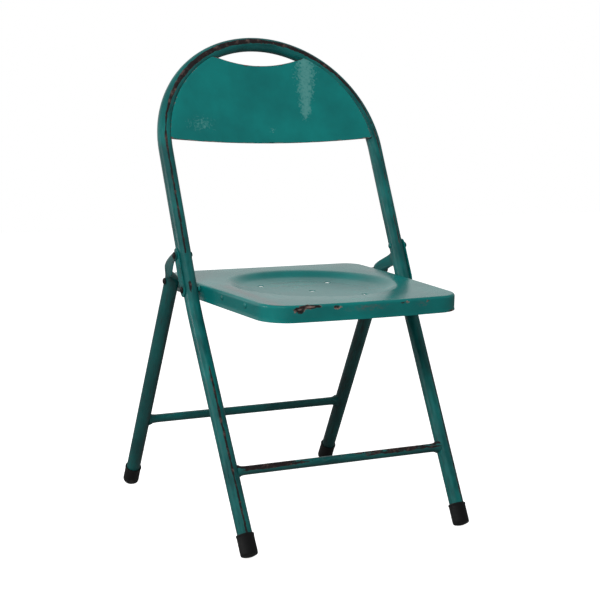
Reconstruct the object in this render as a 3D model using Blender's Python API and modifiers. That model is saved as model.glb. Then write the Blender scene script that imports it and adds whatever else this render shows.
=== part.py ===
"""A folding steel chair: one bent tube for legs and back hoop, a pressed seat and two rear legs.

The sitter faces -Y and +Z is up. Left and right are as seen from the front, with left at -X.
Both rear legs swing on bolts near the top of the front tube, and the seat on bolts below them.
"""
import math

import bmesh
import bpy
from mathutils import Vector

# Clearance between pieces that touch
GAP = 0.0003

# Front frame: one tube from foot to foot
TUBE_RADIUS = 0.0119
HOOP_RADIUS = 0.1975
FRONT_TOE_IN = 0.0086
FRONT_FOOT_X = HOOP_RADIUS - FRONT_TOE_IN
KNEE_Y = 0.199
KNEE_Z = 0.3606
BACK_LEAN = math.radians(24.6)
CHAIR_HEIGHT = 0.800
KNEE_REACH = 0.030

# Rear legs
REAR_TUBE_RADIUS = 0.0122
REAR_FOOT_X = HOOP_RADIUS + 0.0023
REAR_TOP_X = HOOP_RADIUS + 0.0001
REAR_FOOT_Y = 0.5105
REAR_SLOPE = 0.5545
SWEEP_RADIUS = 0.132
SWEEP_ANGLE = math.radians(37.0)
EAR_RADIUS = 0.0100
EAR_THICK = 0.0025
EAR_WIDTH = 0.0145
EAR_START = 0.050
EAR_BLEND = 0.020
# How much the pressed ear is squared off at its corners
EAR_SQUARING = 0.25

# Pivots on the leaning part of the front tube, by height
LEG_PIVOT_Z = 0.441
SEAT_PIVOT_Z = 0.3875
STUD_FROM_PIVOT = 0.0747

# Pivot plates
PLATE_THICK = 0.0018
PLATE_HALF_WIDTH = 0.0085
PLATE_END = 0.0120

# Stretchers: each end is hollowed by this much of its leg, above and below the bar
BAR_SEAT_REACH = 0.0500
FRONT_BAR_RADIUS = 0.0070
FRONT_BAR_Z = 0.1200
REAR_BAR_RADIUS = 0.0074
REAR_BAR_Z = 0.1305

# Rubber feet, each with a slightly crowned end that is worn flat where it meets the floor
FOOT_WALL = 0.0018
FOOT_RIM = 0.0006
FOOT_RIM_LENGTH = 0.0028
FOOT_LENGTH = 0.0390
FOOT_SOLE = 0.0100
FOOT_CROWN_RADIUS = 0.0286
FOOT_CORNER = 0.0015
FOOT_WORN = 0.0006

# Bolts, nuts and rivets
BOLT_RADIUS = 0.0027
BOLT_HEAD_RADIUS = 0.0056
BOLT_HEAD_HEIGHT = 0.0030
NUT_RADIUS = 0.0052
NUT_HEIGHT = 0.0030
BOLT_TAIL = 0.0008
BORE_LENGTH = 0.0800
RIVET_RADIUS = 0.0020
RIVET_HEAD_RADIUS = 0.0042
RIVET_HEAD_HEIGHT = 0.0018
RIVET_Y = (-0.0805, -0.1590)
RIVET_DROP = 0.0100

# Back panel, a dished sheet on the front of the hoop
PANEL_RADIUS = HOOP_RADIUS - 0.0080
PANEL_RISE = 0.0150
PANEL_SAG = 0.0045
PANEL_DISH = 0.0130
PANEL_THICK = 0.0012
GRIP_HALF_WIDTH = 0.1000
GRIP_DEPTH = 0.0190

# Seat, in its own frame: y from the seat pivot, z from the top face
SEAT_SLOPE = math.radians(2.36)
SEAT_THICK = 0.0012
SEAT_SIDE_CLEARANCE = 0.0041
SEAT_HALF_WIDTH = HOOP_RADIUS - TUBE_RADIUS - SEAT_SIDE_CLEARANCE
SEAT_TAPER = 0.0135
SEAT_FRONT_HALF_WIDTH = SEAT_HALF_WIDTH - SEAT_TAPER
SEAT_FRONT = -0.2390
SEAT_REAR = 0.1460
SEAT_BULGE = 0.0070
SEAT_TAPER_START = 0.0200
SEAT_FRONT_CORNER = 0.0420
SEAT_REAR_CORNER = 0.0300
SEAT_BULGE_RADIUS = 0.35
SEAT_TAPER_RADIUS = 0.40
SEAT_BORDER = 0.0220
SEAT_SKIRT = 0.0265
SEAT_EDGE = 0.0040
SEAT_HEM = 0.0008
SEAT_PIVOT_DROP = 0.0080
DISH_RADIUS = 0.1380
DISH_CENTRE = -0.0440
DISH_DEPTH = 0.0120
# Rings of the dish: share of its radius, share of its depth
DISH_RINGS = ((0.08, 1.0), (0.45, 0.97), (0.72, 0.84), (0.88, 0.52), (0.96, 0.16), (1.0, 0.0))
HOLE_RADIUS = 0.0052
HOLE_HALF_X = 0.0620
HOLE_HALF_Y = 0.0660

# Side rails riveted inside the skirt
RAIL_THICK = 0.0015
RAIL_TOP = -0.0032
RAIL_BOTTOM = -0.0215
RAIL_FRONT = -0.1950
RAIL_REAR = 0.0600
RAIL_STATIONS = (RAIL_FRONT, -0.1300, -0.0600, -0.0200, 0.0, SEAT_TAPER_START, RAIL_REAR)
RAIL_RELIEF = 0.0120

SIDES = ((-1, "left"), (1, "right"))

HOOP_LENGTH = (CHAIR_HEIGHT - TUBE_RADIUS - KNEE_Z) / math.cos(BACK_LEAN)
HOOP_CENTRE = HOOP_LENGTH - HOOP_RADIUS
LEAN_UP = Vector((0, math.sin(BACK_LEAN), math.cos(BACK_LEAN)))
LEAN_FRONT = Vector((0, -math.cos(BACK_LEAN), math.sin(BACK_LEAN)))
KNEE = Vector((0, KNEE_Y, KNEE_Z))
PLATE_X = HOOP_RADIUS + TUBE_RADIUS + GAP
EAR_X = PLATE_X + PLATE_THICK + GAP


def lean_point(x, along, forward=0.0):
    """A point on the leaning plane of the hoop, by its distance from the knee."""
    return KNEE + Vector((x, 0, 0)) + LEAN_UP * along + LEAN_FRONT * forward


def lean_at_height(z):
    """The centre line of the leaning tube at a height, at x = 0."""
    return lean_point(0, (z - KNEE_Z) / math.cos(BACK_LEAN))


LEG_PIVOT = lean_at_height(LEG_PIVOT_Z)
SEAT_PIVOT = lean_at_height(SEAT_PIVOT_Z)


def collection(name):
    made = bpy.data.collections.new(name)
    bpy.context.scene.collection.children.link(made)
    return made


def clear_scene():
    for old in list(bpy.data.objects):
        bpy.data.objects.remove(old, do_unlink=True)


clear_scene()
PARTS = collection("folding_chair")
CUTTERS = collection("cutters")


def material(name, colour, roughness, metallic):
    made = bpy.data.materials.new(name)
    made.use_nodes = True
    shader = made.node_tree.nodes["Principled BSDF"]
    shader.inputs["Base Color"].default_value = (*colour, 1)
    shader.inputs["Roughness"].default_value = roughness
    shader.inputs["Metallic"].default_value = metallic
    return made


GREEN_PAINT = material("green_paint", (0.012, 0.165, 0.138), 0.38, 0.0)
WORN_STEEL = material("worn_steel", (0.035, 0.030, 0.028), 0.45, 0.7)
BLACK_RUBBER = material("black_rubber", (0.014, 0.014, 0.015), 0.6, 0.0)


def place(name, mesh, finish, parent):
    """Puts a mesh in the chair's collection under its parent."""
    made = bpy.data.objects.new(name, mesh)
    mesh.materials.append(finish)
    PARTS.objects.link(made)
    made.parent = parent
    mesh.shade_smooth()
    mesh.set_sharp_from_angle(angle=math.radians(35))
    return made


def empty(name, parent=None, location=(0, 0, 0)):
    made = bpy.data.objects.new(name, None)
    PARTS.objects.link(made)
    made.parent = parent
    made.location = location
    return made


def cutter(name, mesh, parent):
    made = bpy.data.objects.new(name, mesh)
    CUTTERS.objects.link(made)
    made.hide_render = True
    made.display_type = "WIRE"
    made.parent = parent
    return made


def cut(target, tool, operation="DIFFERENCE"):
    change = target.modifiers.new(tool.name, "BOOLEAN")
    change.operation = operation
    change.object = tool
    return change


def tube_mesh(name, points, radius, resolution=6):
    """A round bar along the points, as a closed mesh with filled ends."""
    curve = bpy.data.curves.new(name, "CURVE")
    curve.dimensions = "3D"
    curve.bevel_depth = radius
    curve.bevel_resolution = resolution
    curve.use_fill_caps = True
    spline = curve.splines.new("POLY")
    spline.points.add(len(points) - 1)
    for spot, point in zip(spline.points, points):
        spot.co = (*point, 1)
    guide = bpy.data.objects.new(name, curve)
    bpy.context.scene.collection.objects.link(guide)
    mesh = bpy.data.meshes.new_from_object(guide.evaluated_get(bpy.context.evaluated_depsgraph_get()))
    bpy.data.objects.remove(guide, do_unlink=True)
    shape = bmesh.new()
    shape.from_mesh(mesh)
    bmesh.ops.remove_doubles(shape, verts=shape.verts, dist=1e-6)
    shape.to_mesh(mesh)
    shape.free()
    return mesh


def loft(name, rings, closed=True):
    """A skin over rings of equal length. Closed rings get a cap at both ends."""
    shape = bmesh.new()
    rows = [[shape.verts.new(point) for point in ring] for ring in rings]
    count = len(rows[0])
    spans = count if closed else count - 1
    for low, high in zip(rows, rows[1:]):
        for i in range(spans):
            j = (i + 1) % count
            shape.faces.new((low[i], low[j], high[j], high[i]))
    if closed:
        shape.faces.new(reversed(rows[0]))
        shape.faces.new(rows[-1])
        bmesh.ops.recalc_face_normals(shape, faces=shape.faces)
    mesh = bpy.data.meshes.new(name)
    shape.to_mesh(mesh)
    shape.free()
    return mesh


def turned(name, profile, finish, parent, steps=20):
    """A profile of (radius, height) swept round local Z, from its top down its outer side."""
    mesh = bpy.data.meshes.new(name)
    points = [(radius, 0, height) for radius, height in profile]
    mesh.from_pydata(points, [(i, i + 1) for i in range(len(points) - 1)], [])
    made = place(name, mesh, finish, parent)
    screw = made.modifiers.new("turn", "SCREW")
    screw.steps = steps
    screw.render_steps = steps
    screw.use_merge_vertices = True
    screw.merge_threshold = 1e-5
    return made


def cylinder_mesh(name, radius, length, segments=16):
    """A cylinder about local Z, centred on its origin."""
    shape = bmesh.new()
    bmesh.ops.create_cone(shape, cap_ends=True, segments=segments, radius1=radius, radius2=radius, depth=length)
    mesh = bpy.data.meshes.new(name)
    shape.to_mesh(mesh)
    shape.free()
    return mesh


def face_sideways(made, side, x, y, z):
    """Points local Z outwards, away from the middle of the chair."""
    made.location = (side * x, y, z)
    made.rotation_euler = (0, side * math.pi / 2, 0)


def smooth(t):
    t = min(1.0, max(0.0, t))
    return t * t * (3 - 2 * t)


# Centre lines

def front_leg_point(z, side):
    share = z / KNEE_Z
    return Vector((side * (FRONT_FOOT_X + (HOOP_RADIUS - FRONT_FOOT_X) * share), KNEE_Y * share, z))


def rear_leg_point(z, side):
    share = z / LEG_PIVOT_Z
    x = REAR_FOOT_X + (REAR_TOP_X - REAR_FOOT_X) * share
    return Vector((side * x, REAR_FOOT_Y - REAR_SLOPE * z, z))


def rounded_corner(before, corner, after, reach, steps=4):
    """Points of a bend that leaves the corner by the same reach on both sides."""
    start = corner + (before - corner).normalized() * reach
    end = corner + (after - corner).normalized() * reach
    bend = []
    for i in range(steps + 1):
        t = i / steps
        bend.append(start * (1 - t) ** 2 + corner * 2 * t * (1 - t) + end * t ** 2)
    return bend


def front_frame_path():
    """Half of the tube from the left foot to the top of the hoop, then its mirror image."""
    foot = front_leg_point(FOOT_SOLE, -1)
    knee = Vector((-HOOP_RADIUS, KNEE_Y, KNEE_Z))
    spring = lean_point(-HOOP_RADIUS, HOOP_CENTRE)
    half = [foot, *rounded_corner(foot, knee, spring, KNEE_REACH), spring]
    arc_steps = 15
    for i in range(1, arc_steps + 1):
        turn = math.pi - i * (math.pi / 2) / arc_steps
        half.append(lean_point(HOOP_RADIUS * math.cos(turn), HOOP_CENTRE + HOOP_RADIUS * math.sin(turn)))
    return half + [Vector((-p.x, p.y, p.z)) for p in reversed(half[:-1])]


def sweep_point(distance):
    """A place on the rear leg's top bend, by its distance from the leg pivot, and its direction."""
    top_rise = math.atan2(1, REAR_SLOPE) - SWEEP_ANGLE
    turn = distance / SWEEP_RADIUS
    rise = top_rise + turn
    y = LEG_PIVOT.y + SWEEP_RADIUS * (math.sin(rise) - math.sin(top_rise))
    z = LEG_PIVOT.z - SWEEP_RADIUS * (math.cos(top_rise) - math.cos(rise))
    return Vector((0, y, z)), Vector((0, math.cos(rise), -math.sin(rise)))


# Bores shared by every piece that a bolt passes through

def bore(name, side, centre, parent):
    made = cutter(name, cylinder_mesh(name, BOLT_RADIUS + GAP, BORE_LENGTH, 16), parent)
    face_sideways(made, side, HOOP_RADIUS, centre.y, centre.z)
    return made


def front_frame(parent, bores):
    made = place("front_frame_tube", tube_mesh("front_frame_tube", front_frame_path(), TUBE_RADIUS), GREEN_PAINT, parent)
    for _, side_name in SIDES:
        cut(made, bores["leg_pivot", side_name])
        cut(made, bores["seat_pivot", side_name])


def stretcher(name, parent, point_at, height, radius, leg_radius, leg_points):
    """A round bar between two legs, its ends hollowed to sit against them."""
    left, right = (point_at(height, side) for side, _ in SIDES)
    made = place(name, tube_mesh(name, [left, right], radius, 4), GREEN_PAINT, parent)
    for side, side_name in SIDES:
        seat_name = name + "_seat_" + side_name
        seat_mesh = tube_mesh(seat_name, leg_points(side), leg_radius + GAP, 6)
        cut(made, cutter(seat_name, seat_mesh, parent))
    return made


def foot(name, parent, point_at, side, leg_radius):
    """A rubber ferrule over the end of a leg, crowned below and worn flat where it meets the floor."""
    low = point_at(0, side)
    axis = (point_at(0.1, side) - low).normalized()
    outer = leg_radius + FOOT_WALL
    rim = outer + FOOT_RIM
    crown = (FOOT_CROWN_RADIUS - FOOT_WORN) / axis.z
    half = math.asin(outer / FOOT_CROWN_RADIUS)
    profile = [
        (0, FOOT_LENGTH),
        (outer, FOOT_LENGTH),
        (rim, FOOT_LENGTH - FOOT_RIM),
        (rim, FOOT_LENGTH - FOOT_RIM_LENGTH),
        (outer, FOOT_LENGTH - FOOT_RIM_LENGTH - FOOT_RIM),
        (outer, crown - FOOT_CROWN_RADIUS * math.cos(half) + FOOT_CORNER),
    ]
    for share in (0.95, 0.7, 0.4, 0):
        profile.append((FOOT_CROWN_RADIUS * math.sin(half * share), crown - FOOT_CROWN_RADIUS * math.cos(half * share)))
    made = turned(name, profile, BLACK_RUBBER, parent)
    made.location = low
    made.rotation_euler = axis.to_track_quat("Z", "Y").to_euler()
    socket_mesh = tube_mesh(name + "_socket", [point_at(FOOT_SOLE, side) - axis * GAP, point_at(0.09, side)],
                            leg_radius + GAP, 6)
    cut(made, cutter(name + "_socket", socket_mesh, parent))
    floor_shape = bmesh.new()
    bmesh.ops.create_cube(floor_shape, size=0.1)
    floor_mesh = bpy.data.meshes.new(name + "_floor")
    floor_shape.to_mesh(floor_mesh)
    floor_shape.free()
    ground = cutter(name + "_floor", floor_mesh, parent)
    ground.location = (low.x, low.y, -0.05)
    cut(made, ground)
    return made


def bolt(name, parent, side, pivot, head_x, tail_x):
    """A domed bolt head outside and a plain shank that ends inside."""
    shank = head_x - tail_x
    profile = [
        (0, BOLT_HEAD_HEIGHT),
        (BOLT_HEAD_RADIUS * 0.60, BOLT_HEAD_HEIGHT * 0.82),
        (BOLT_HEAD_RADIUS * 0.92, BOLT_HEAD_HEIGHT * 0.38),
        (BOLT_HEAD_RADIUS, 0),
        (BOLT_RADIUS, 0),
        (BOLT_RADIUS, -shank),
        (0, -shank),
    ]
    made = turned(name, profile, WORN_STEEL, parent, 16)
    face_sideways(made, side, head_x, pivot.y, pivot.z)
    return made


def nut(name, parent, side, pivot, outer_x, hole):
    made = place(name, cylinder_mesh(name, NUT_RADIUS, NUT_HEIGHT, 6), WORN_STEEL, parent)
    face_sideways(made, side, outer_x - NUT_HEIGHT / 2, pivot.y, pivot.z)
    cut(made, hole)
    return made


def spacer(name, parent, side, pivot, outer_x, inner_x, hole):
    made = place(name, cylinder_mesh(name, NUT_RADIUS, outer_x - inner_x, 16), WORN_STEEL, parent)
    face_sideways(made, side, (outer_x + inner_x) / 2, pivot.y, pivot.z)
    cut(made, hole)
    return made


def pivot_plate(name, parent, side, side_name, bores):
    """A strap with round ends that ties the two pivots together outside the tube."""
    ends = (LEG_PIVOT, SEAT_PIVOT)
    rings = []
    for x in (PLATE_X, PLATE_X + PLATE_THICK):
        ring = []
        for end, half_turn in zip(ends, (0, math.pi)):
            for i in range(9):
                turn = half_turn + math.pi * i / 8
                across = -LEAN_FRONT * math.cos(turn) * PLATE_HALF_WIDTH
                along = LEAN_UP * math.sin(turn) * PLATE_END
                ring.append(Vector((side * x, end.y, end.z)) + across + along)
        rings.append(ring)
    made = place(name, loft(name, rings), GREEN_PAINT, parent)
    cut(made, bores["leg_pivot", side_name])
    cut(made, bores["seat_pivot", side_name])
    return made


def panel_point(x, along):
    """A point of the back panel: the sheet is dished and its rim lies on the front of the hoop."""
    rim = PANEL_RADIUS
    tube_rise = math.sqrt((TUBE_RADIUS + GAP) ** 2 - (HOOP_RADIUS - rim) ** 2) + GAP
    distance = math.hypot(x, along - HOOP_CENTRE)
    forward = tube_rise - PANEL_DISH * (1 - (distance / rim) ** 2)
    return lean_point(x, along, forward)


def back_panel(parent):
    """A half disc with a straight, slightly sagging foot and a hollow grip edge at the top."""
    rim = PANEL_RADIUS
    start = math.asin(PANEL_RISE / rim)
    grip = math.acos(GRIP_HALF_WIDTH / rim)
    grip_top = HOOP_CENTRE + rim * math.sin(grip)
    side_steps, grip_steps, rows = 9, 16, 8
    top = []
    for i in range(side_steps):
        turn = start + (grip - start) * i / side_steps
        top.append((-rim * math.cos(turn), HOOP_CENTRE + rim * math.sin(turn)))
    for i in range(grip_steps // 2 + 1):
        x = -GRIP_HALF_WIDTH * (1 - 2 * i / grip_steps)
        top.append((x, grip_top - GRIP_DEPTH * (1 - (x / GRIP_HALF_WIDTH) ** 2)))
    top += [(-x, along) for x, along in reversed(top[:-1])]
    end_x = rim * math.cos(start)
    foot_along = HOOP_CENTRE + PANEL_RISE
    columns = []
    for i, (top_x, top_along) in enumerate(top):
        share = 2 * i / (len(top) - 1) - 1
        bottom_x = end_x * share
        bottom_along = foot_along - PANEL_SAG * (1 - share ** 2)
        column = []
        for row in range(rows + 1):
            t = row / rows
            column.append(panel_point(bottom_x + (top_x - bottom_x) * t,
                                      bottom_along + (top_along - bottom_along) * t))
        columns.append(column)
    made = place("back_panel", loft("back_panel", columns, closed=False), GREEN_PAINT, parent)
    wall = made.modifiers.new("wall", "SOLIDIFY")
    wall.thickness = PANEL_THICK
    wall.offset = -1.0
    return made


def rounded_outline(corners, steps=6, sub=4):
    """A closed outline from corners of (x, y, radius), with points along its straight runs."""
    arcs = []
    count = len(corners)
    for i, (x, y, radius) in enumerate(corners):
        spot = Vector((x, y))
        before = (Vector(corners[i - 1][:2]) - spot).normalized()
        after = (Vector(corners[(i + 1) % count][:2]) - spot).normalized()
        half = before.angle(after) / 2
        reach = radius / math.tan(half)
        centre = spot + (before + after).normalized() * (radius / math.sin(half))
        first = spot + before * reach - centre
        turn = first.angle_signed(spot + after * reach - centre)
        arcs.append([centre + Vector((first.x * math.cos(a) + first.y * math.sin(a),
                                      first.y * math.cos(a) - first.x * math.sin(a)))
                     for a in (turn * k / steps for k in range(steps + 1))])
    outline = []
    for i, arc in enumerate(arcs):
        outline += arc
        start, end = arc[-1], arcs[(i + 1) % count][0]
        outline += [start.lerp(end, k / sub) for k in range(1, sub)]
    return outline


def seat_outline():
    front, rear = SEAT_FRONT, SEAT_REAR
    wide, narrow = SEAT_HALF_WIDTH, SEAT_FRONT_HALF_WIDTH
    right = [
        (0, front - SEAT_BULGE, SEAT_BULGE_RADIUS),
        (narrow, front, SEAT_FRONT_CORNER),
        (wide, SEAT_TAPER_START, SEAT_TAPER_RADIUS),
        (wide, rear, SEAT_REAR_CORNER),
    ]
    left = [(-x, y, radius) for x, y, radius in reversed(right[1:])]
    return rounded_outline(right + left)


def seat_pan(parent, bores, rivet_holes):
    """A pressed sheet: round dish, flat border, turned-down skirt and a small hem."""
    outline = seat_outline()
    centre = Vector((0, DISH_CENTRE))
    rings = []
    for share, depth in DISH_RINGS:
        rings.append([(*(centre + (p - centre).normalized() * DISH_RADIUS * share), -DISH_DEPTH * depth)
                      for p in outline])
    half = SEAT_EDGE * (1 - math.sqrt(0.5))
    border = ((SEAT_BORDER, 0.0), (SEAT_EDGE, 0.0), (half, -half), (0.0, -SEAT_EDGE),
              (0.0, SEAT_HEM * 4 - SEAT_SKIRT), (-SEAT_HEM, -SEAT_SKIRT + SEAT_HEM), (-SEAT_HEM, -SEAT_SKIRT))
    for inset, height in border:
        rings.append([(*(p - (p - centre).normalized() * inset), height) for p in outline])
    mesh = loft("seat_pan", rings)
    shape = bmesh.new()
    shape.from_mesh(mesh)
    under = min(shape.faces, key=lambda face: face.calc_center_median().z)
    bmesh.ops.delete(shape, geom=[under], context="FACES_ONLY")
    shape.to_mesh(mesh)
    shape.free()
    made = place("seat_pan", mesh, GREEN_PAINT, parent)
    wall = made.modifiers.new("wall", "SOLIDIFY")
    wall.thickness = SEAT_THICK
    wall.offset = -1.0
    for i, (across, back) in enumerate(((0, 0), (-1, -1), (-1, 1), (1, -1), (1, 1))):
        hole = cutter(f"drain_hole_{i}", cylinder_mesh(f"drain_hole_{i}", HOLE_RADIUS, 0.06, 16), parent)
        hole.location = (across * HOLE_HALF_X, DISH_CENTRE + back * HOLE_HALF_Y, 0)
        cut(made, hole)
    for _, side_name in SIDES:
        cut(made, bores["seat_pivot", side_name])
    for hole in rivet_holes:
        cut(made, hole)
    return made


def skirt_x(y):
    """The outer face of the skirt at a distance from the seat pivot."""
    if y >= SEAT_TAPER_START:
        return SEAT_HALF_WIDTH
    share = (SEAT_TAPER_START - y) / (SEAT_TAPER_START - SEAT_FRONT)
    return SEAT_HALF_WIDTH - (SEAT_HALF_WIDTH - SEAT_FRONT_HALF_WIDTH) * share


def seat_rail(name, parent, side, side_name, bores, holes):
    """A steel strip along the inside of the skirt that carries the seat pivot."""
    rings = []
    inset = SEAT_THICK + GAP * 2
    for y in RAIL_STATIONS:
        outer = min(skirt_x(y), skirt_x(y + RAIL_RELIEF)) - inset
        inner = outer - RAIL_THICK
        rings.append([Vector((side * outer, y, RAIL_BOTTOM)), Vector((side * outer, y, RAIL_TOP)),
                      Vector((side * inner, y, RAIL_TOP)), Vector((side * inner, y, RAIL_BOTTOM))])
    made = place(name, loft(name, rings), GREEN_PAINT, parent)
    cut(made, bores["seat_pivot", side_name])
    for hole in holes:
        cut(made, hole)
    return made


def rivet_hole(name, parent, side, y):
    made = cutter(name, cylinder_mesh(name, RIVET_RADIUS + GAP / 2, 0.02, 12), parent)
    face_sideways(made, side, skirt_x(y), y, -RIVET_DROP)
    return made


def rivet(name, parent, side, y):
    """A round-headed rivet through the skirt and the rail, closed inside."""
    outer = skirt_x(y) + GAP
    length = SEAT_THICK + RAIL_THICK + GAP * 8
    profile = [
        (0, RIVET_HEAD_HEIGHT),
        (RIVET_HEAD_RADIUS * 0.6, RIVET_HEAD_HEIGHT * 0.8),
        (RIVET_HEAD_RADIUS, 0),
        (RIVET_RADIUS, 0),
        (RIVET_RADIUS, -length),
        (RIVET_RADIUS * 1.5, -length),
        (RIVET_RADIUS * 1.3, -length - 0.001),
        (0, -length - 0.001),
    ]
    made = turned(name, profile, GREEN_PAINT, parent, 12)
    face_sideways(made, side, outer, y, -RIVET_DROP)
    return made


def rear_leg(name, parent, side, side_name, bores):
    """A tube that bends forward at the top and is pressed flat into an ear beside the front tube."""
    bend_length = SWEEP_RADIUS * SWEEP_ANGLE
    stations = [-EAR_RADIUS * share for share in (0.995, 0.92, 0.74, 0.42)]
    stations += [0.0, 0.012, 0.025, 0.038, EAR_START]
    stations += [EAR_START + EAR_BLEND * share for share in (0.2, 0.4, 0.6, 0.8, 1.0)]
    stations += [bend_length]
    rings = []
    around = 16
    for s in stations:
        spot, way = sweep_point(s)
        flat = 1 - smooth((s - EAR_START) / EAR_BLEND)
        width = REAR_TUBE_RADIUS + (EAR_WIDTH - REAR_TUBE_RADIUS) * flat
        if s < EAR_START:
            width = EAR_RADIUS + (EAR_WIDTH - EAR_RADIUS) * smooth(s / EAR_START)
        if s < 0:
            width = math.sqrt(EAR_RADIUS ** 2 - s ** 2)
        thick = REAR_TUBE_RADIUS + (EAR_THICK / 2 - REAR_TUBE_RADIUS) * flat
        x = rear_leg_point(spot.z, 1).x
        x += (EAR_X + EAR_THICK / 2 - x) * flat
        across = Vector((0, way.z, -way.y))
        ring = []
        for i in range(around):
            turn = 2 * math.pi * i / around
            u, v = math.cos(turn), math.sin(turn)
            square = 1 + EAR_SQUARING * flat * abs(u * v)
            ring.append(Vector((side * (x + v * thick * square), spot.y, spot.z)) + across * u * width)
        rings.append(ring)
    low = rear_leg_point(FOOT_SOLE, side)
    high = rear_leg_point(sweep_point(bend_length)[0].z, side)
    way = (low - high).normalized()
    across = Vector((0, way.z, -way.y))
    outward = Vector((side, 0, 0))
    rings.append([low + (across * math.cos(turn) + outward * math.sin(turn)) * REAR_TUBE_RADIUS
                  for turn in (2 * math.pi * i / around for i in range(around))])
    made = place(name, loft(name, rings), GREEN_PAINT, parent)
    cut(made, bores["leg_pivot", side_name])
    cut(made, bores["stud", side_name])
    return made


def build():
    chair = empty("chair_origin")
    swing = empty("rear_leg_pivot", chair, LEG_PIVOT)
    seat_axis = empty("seat_pivot", chair, SEAT_PIVOT)
    rear = empty("rear_leg_frame", swing, -LEG_PIVOT)
    seat = empty("seat_frame", seat_axis, (0, 0, 0))
    seat.rotation_euler = (SEAT_SLOPE, 0, 0)
    seat_top = empty("seat_top", seat, (0, 0, SEAT_PIVOT_DROP))

    stud, _ = sweep_point(STUD_FROM_PIVOT)
    centres = {"leg_pivot": LEG_PIVOT, "seat_pivot": SEAT_PIVOT, "stud": stud}
    bores = {(kind, side_name): bore(f"{kind}_bore_{side_name}", side, centre, chair)
             for kind, centre in centres.items() for side, side_name in SIDES}

    front_frame(chair, bores)
    back_panel(chair)
    stretcher("front_stretcher", chair, front_leg_point, FRONT_BAR_Z, FRONT_BAR_RADIUS, TUBE_RADIUS,
              lambda side: [front_leg_point(FRONT_BAR_Z + step, side) for step in (-BAR_SEAT_REACH, BAR_SEAT_REACH)])
    stretcher("rear_stretcher", rear, rear_leg_point, REAR_BAR_Z, REAR_BAR_RADIUS, REAR_TUBE_RADIUS,
              lambda side: [rear_leg_point(REAR_BAR_Z + step, side) for step in (-BAR_SEAT_REACH, BAR_SEAT_REACH)])

    inner_x = HOOP_RADIUS - TUBE_RADIUS - GAP
    skirt_outer = SEAT_HALF_WIDTH + GAP
    rail_inner = skirt_x(0) - SEAT_THICK - RAIL_THICK - GAP * 4
    stud_head_x = rear_leg_point(stud.z, 1).x + REAR_TUBE_RADIUS + GAP
    stud_nut_x = rear_leg_point(stud.z, 1).x - REAR_TUBE_RADIUS - GAP
    all_rivet_holes = []
    for side, side_name in SIDES:
        pivot_plate("pivot_plate_" + side_name, chair, side, side_name, bores)
        foot("front_foot_" + side_name, chair, front_leg_point, side, TUBE_RADIUS)
        foot("rear_foot_" + side_name, rear, rear_leg_point, side, REAR_TUBE_RADIUS)
        rear_leg("rear_leg_" + side_name, rear, side, side_name, bores)

        bolt("leg_pivot_bolt_" + side_name, chair, side, LEG_PIVOT, EAR_X + EAR_THICK + GAP,
             inner_x - NUT_HEIGHT - BOLT_TAIL)
        nut("leg_pivot_nut_" + side_name, chair, side, LEG_PIVOT, inner_x, bores["leg_pivot", side_name])

        bolt("seat_pivot_bolt_" + side_name, chair, side, SEAT_PIVOT, PLATE_X + PLATE_THICK + GAP,
             rail_inner - NUT_HEIGHT - BOLT_TAIL)
        spacer("seat_pivot_spacer_" + side_name, chair, side, SEAT_PIVOT, inner_x, skirt_outer,
               bores["seat_pivot", side_name])
        nut("seat_pivot_nut_" + side_name, chair, side, SEAT_PIVOT, rail_inner, bores["seat_pivot", side_name])

        bolt("seat_stud_" + side_name, rear, side, stud, stud_head_x, skirt_outer)
        nut("seat_stud_nut_" + side_name, rear, side, stud, stud_nut_x, bores["stud", side_name])

        holes = [rivet_hole(f"rivet_hole_{side_name}_{i + 1}", seat_top, side, y) for i, y in enumerate(RIVET_Y)]
        all_rivet_holes += holes
        seat_rail("seat_rail_" + side_name, seat_top, side, side_name, bores, holes)
        for i, y in enumerate(RIVET_Y):
            rivet(f"seat_rivet_{side_name}_{i + 1}", seat_top, side, y)
    seat_pan(seat_top, bores, all_rivet_holes)
    return chair


def centre_on_floor(chair):
    """Moves the origin to the middle of the chair's depth, on the floor."""
    bpy.context.view_layer.update()
    graph = bpy.context.evaluated_depsgraph_get()
    depths = [(made.matrix_world @ Vector(corner)).y
              for made in PARTS.objects if made.type == "MESH"
              for corner in made.evaluated_get(graph).bound_box]
    chair.location.y = -(min(depths) + max(depths)) / 2


centre_on_floor(build())
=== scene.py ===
"""A folding steel chair in worn green enamel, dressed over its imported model.

It is laid out as an add-on and run as a script. One operator makes each kind of piece, in metres.
The sitter faces -Y, +Z is up, and left is -X, as seen from the front.
"""

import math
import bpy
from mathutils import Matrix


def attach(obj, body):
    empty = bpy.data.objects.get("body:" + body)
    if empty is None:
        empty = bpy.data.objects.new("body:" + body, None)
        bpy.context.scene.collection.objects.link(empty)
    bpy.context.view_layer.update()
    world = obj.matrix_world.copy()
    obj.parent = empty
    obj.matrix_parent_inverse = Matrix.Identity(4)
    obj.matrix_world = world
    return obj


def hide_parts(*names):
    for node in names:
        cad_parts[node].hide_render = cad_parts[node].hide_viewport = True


bl_info = {
    "name": "Worn Green Folding Chair",
    "version": (1, 0, 0),
    "blender": (4, 5, 0),
    "location": "3D View > Sidebar > Chair",
    "description": "Dresses a folding steel chair in chipped enamel, rust, dark bolts and rubber feet",
    "category": "Object",
}

from functools import partial

import bmesh
import bpy
from bpy.props import FloatProperty, FloatVectorProperty, IntProperty, PointerProperty
from bpy.types import Operator, Panel, PropertyGroup
from mathutils import Matrix, Vector

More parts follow.
